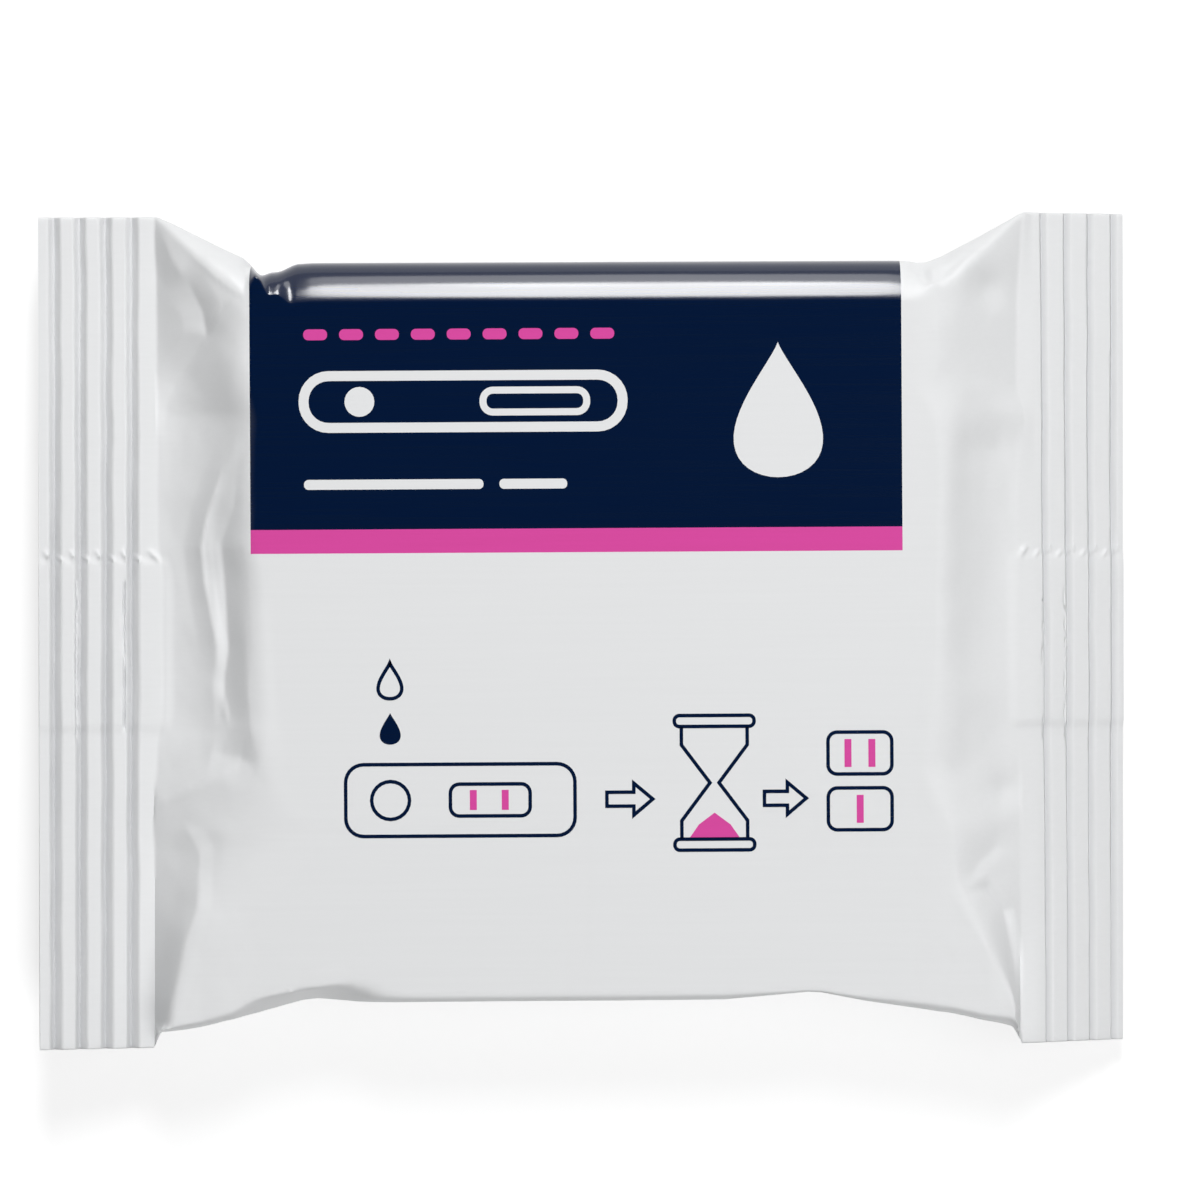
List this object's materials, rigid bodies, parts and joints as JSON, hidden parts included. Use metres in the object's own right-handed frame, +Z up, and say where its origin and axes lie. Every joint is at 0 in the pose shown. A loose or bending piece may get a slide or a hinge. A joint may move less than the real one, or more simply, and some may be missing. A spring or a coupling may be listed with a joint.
{
  "type": "sealed flow-wrap pouch",
  "caption": "Pillow-shaped film pouch sealed over a flat test device, with crimped ribbed end seals, gathered necks and a fin seal folded flat along its back.",
  "frame": {"origin": "on the surface that the pouch lies on, under the middle of its outline", "axes": "+X from the left end seal to the right one, +Y across the pouch towards the top of the printed panel, +Z up out of the printed front"},
  "size_m": [0.11, 0.084, 0.0124],
  "materials": {
    "film": "white printed foil laminate with a satin gloss, a dark blue panel and a pink stripe"
  },
  "bodies": {
    "root": {"sealed_pouch": "film"}
  },
  "joints": []
}
